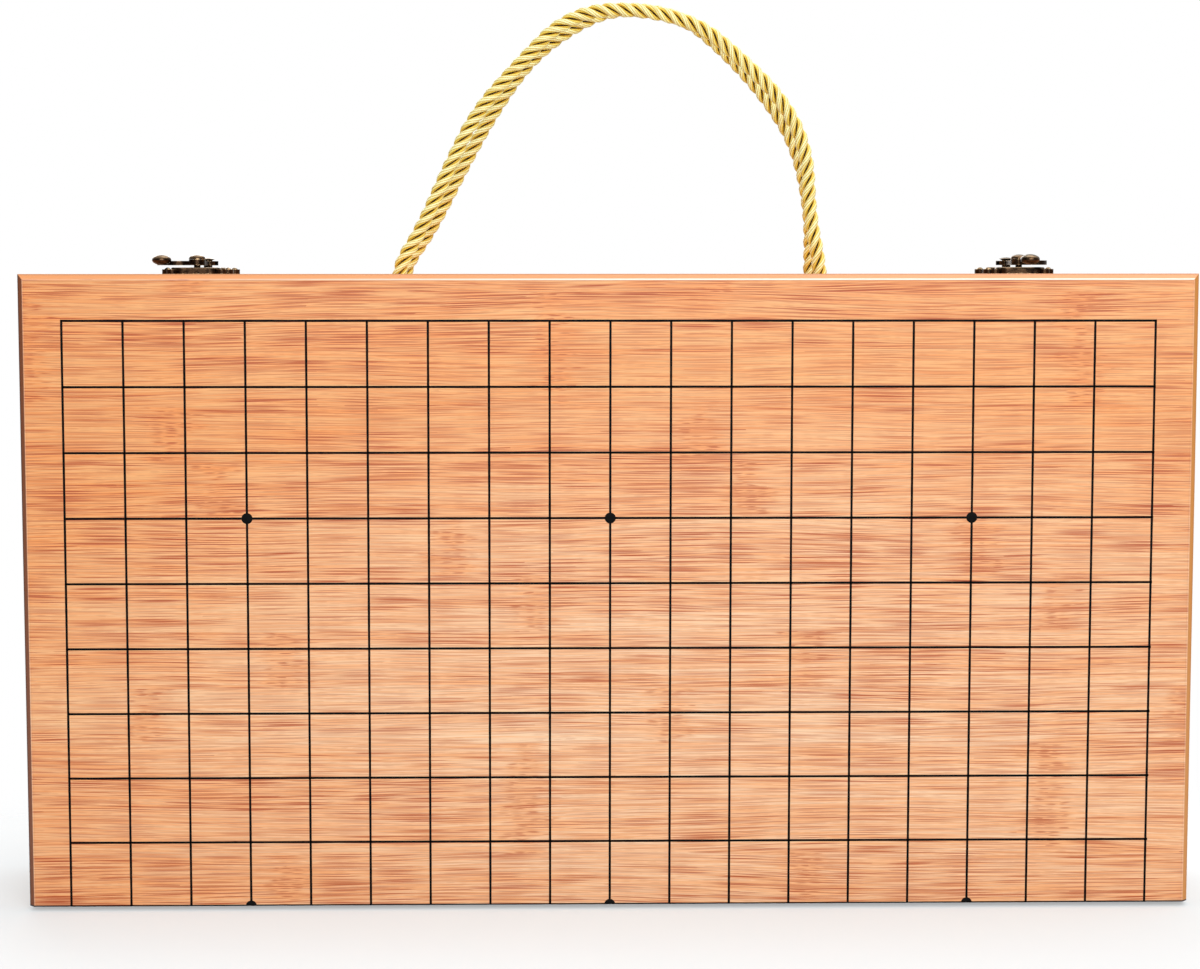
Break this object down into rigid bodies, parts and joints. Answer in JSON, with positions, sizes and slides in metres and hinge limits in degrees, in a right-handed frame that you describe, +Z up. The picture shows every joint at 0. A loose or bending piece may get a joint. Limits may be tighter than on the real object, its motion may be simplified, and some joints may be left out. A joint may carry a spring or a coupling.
{
  "type": "folding go board case",
  "caption": "Bamboo go board folding in half into a carrying case, with a stone drawer in each half, hook latches and rope handles.",
  "frame": {"origin": "centre of the closed case's footprint, on the surface that it stands on with its fold edge down", "axes": "+Z up from the fold edge to the handles, X along the long edge, Y through the folded thickness with the front half at -Y"},
  "size_m": [0.425, 0.069, 0.3339],
  "materials": {
    "bamboo_face": "satin lacquer over laminated bamboo",
    "bamboo_frame": "satin lacquer over bamboo",
    "bamboo_drawer": "smooth sanded bamboo",
    "antique_bronze": "antique bronze, worn bright on the high spots",
    "hinge_brass": "brushed brass",
    "pin_steel": "drawn steel",
    "magnet_steel": "nickel plated",
    "foot_rubber": "matt",
    "gold_rope": "satin twisted cord",
    "grid_ink": "printed black ink"
  },
  "bodies": {
    "front_half": {"front_playing_panel": "bamboo_face", "front_base_panel": "bamboo_frame", "front_handle_rail": "bamboo_frame", "front_hinge_rail": "bamboo_frame", "front_end_rail": "bamboo_frame", "front_drawer_magnet": "magnet_steel", "front_feet": "foot_rubber", "front_rope_knots": "gold_rope", "front_hinge_screws": "hinge_brass", "left_hinge_front_leaf": "hinge_brass", "right_hinge_front_leaf": "hinge_brass", "left_hinge_pin": "pin_steel", "right_hinge_pin": "pin_steel", "left_hook_plate": "antique_bronze", "right_hook_plate": "antique_bronze", "left_hook_rivet": "antique_bronze", "right_hook_rivet": "antique_bronze", "hook_plate_nails": "antique_bronze"},
    "back_half": {"back_playing_panel": "bamboo_face", "back_base_panel": "bamboo_frame", "back_handle_rail": "bamboo_frame", "back_hinge_rail": "bamboo_frame", "back_end_rail": "bamboo_frame", "back_drawer_magnet": "magnet_steel", "back_feet": "foot_rubber", "back_rope_knots": "gold_rope", "back_hinge_screws": "hinge_brass", "left_hinge_back_leaf": "hinge_brass", "right_hinge_back_leaf": "hinge_brass", "left_catch_plate": "antique_bronze", "right_catch_plate": "antique_bronze", "left_catch_post": "antique_bronze", "right_catch_post": "antique_bronze", "catch_plate_nails": "antique_bronze"},
    "front_drawer": {"front_drawer_front": "bamboo_drawer", "front_drawer_back": "bamboo_drawer", "front_drawer_bottom": "bamboo_drawer", "front_drawer_lower_side": "bamboo_drawer", "front_drawer_upper_side": "bamboo_drawer", "front_drawer_keeper": "magnet_steel"},
    "back_drawer": {"back_drawer_front": "bamboo_drawer", "back_drawer_back": "bamboo_drawer", "back_drawer_bottom": "bamboo_drawer", "back_drawer_lower_side": "bamboo_drawer", "back_drawer_upper_side": "bamboo_drawer", "back_drawer_keeper": "magnet_steel"},
    "left_hook": {"left_latch_hook": "antique_bronze"},
    "right_hook": {"right_latch_hook": "antique_bronze"},
    "front_rope": {"front_rope": "gold_rope"},
    "back_rope": {"back_rope": "gold_rope"}
  },
  "joints": [
    {"name": "fold", "type": "hinge", "parent": "front_half", "child": "back_half", "pos_m": [0, 0, 0.0015], "axis": [-1, 0, 0], "range_deg": [0, 180]},
    {"name": "front_drawer_slide", "type": "slide", "parent": "front_half", "child": "front_drawer", "axis": [1, 0, 0], "range_m": [0, 0.34]},
    {"name": "back_drawer_slide", "type": "slide", "parent": "back_half", "child": "back_drawer", "axis": [-1, 0, 0], "range_m": [0, 0.34]},
    {"name": "left_hook_swing", "type": "hinge", "parent": "front_half", "child": "left_hook", "pos_m": [-0.1516, -0.009, 0.236], "axis": [0, 0, 1], "range_deg": [0, 90]},
    {"name": "right_hook_swing", "type": "hinge", "parent": "front_half", "child": "right_hook", "pos_m": [0.1516, -0.009, 0.236], "axis": [0, 0, -1], "range_deg": [0, 90]},
    {"name": "front_rope_swing", "type": "hinge", "parent": "front_half", "child": "front_rope", "pos_m": [0, -0.018, 0.2348], "axis": [1, 0, 0], "range_deg": [0, 85]},
    {"name": "back_rope_swing", "type": "hinge", "parent": "back_half", "child": "back_rope", "pos_m": [0, 0.018, 0.2348], "axis": [-1, 0, 0], "range_deg": [0, 85]}
  ]
}
